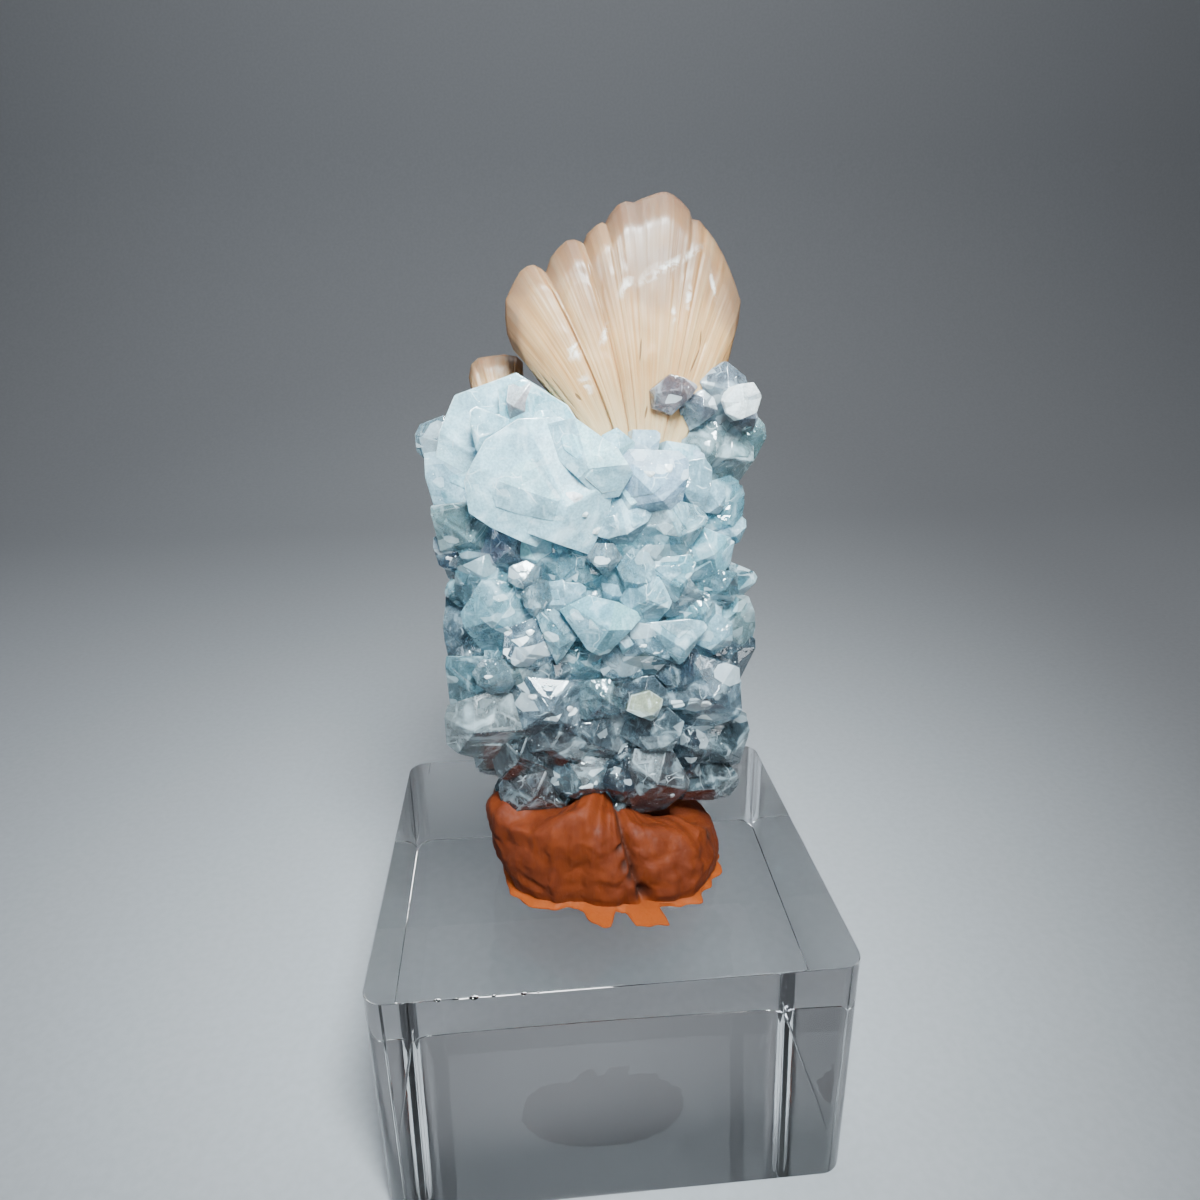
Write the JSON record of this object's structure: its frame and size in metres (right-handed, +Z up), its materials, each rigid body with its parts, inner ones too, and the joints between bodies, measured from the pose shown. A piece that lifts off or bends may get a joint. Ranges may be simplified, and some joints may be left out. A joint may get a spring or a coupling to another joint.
{
  "type": "apophyllite cluster",
  "caption": "Pale aqua apophyllite crystals with a peach stilbite sheaf, held upright by putty on a clear acrylic block.",
  "frame": {"origin": "centre of the acrylic block's underside", "axes": "+Z up through the specimen, +Y from the specimen's front to its back, +X to the right of someone who faces its front"},
  "size_m": [0.05, 0.0448, 0.1011],
  "materials": {
    "apophyllite": "clear to milky pale aqua crystal with a vitreous lustre",
    "stilbite": "translucent peach, finely fibrous with a pearly lustre",
    "putty": "dull orange putty with pressed marks",
    "acrylic": "polished clear acrylic with light scuffs"
  },
  "bodies": {
    "root": {"apophyllite_cluster": "apophyllite", "stilbite_sheaf": "stilbite", "stilbite_side_sheaf": "stilbite", "mounting_putty": "putty", "display_block": "acrylic"}
  },
  "joints": []
}
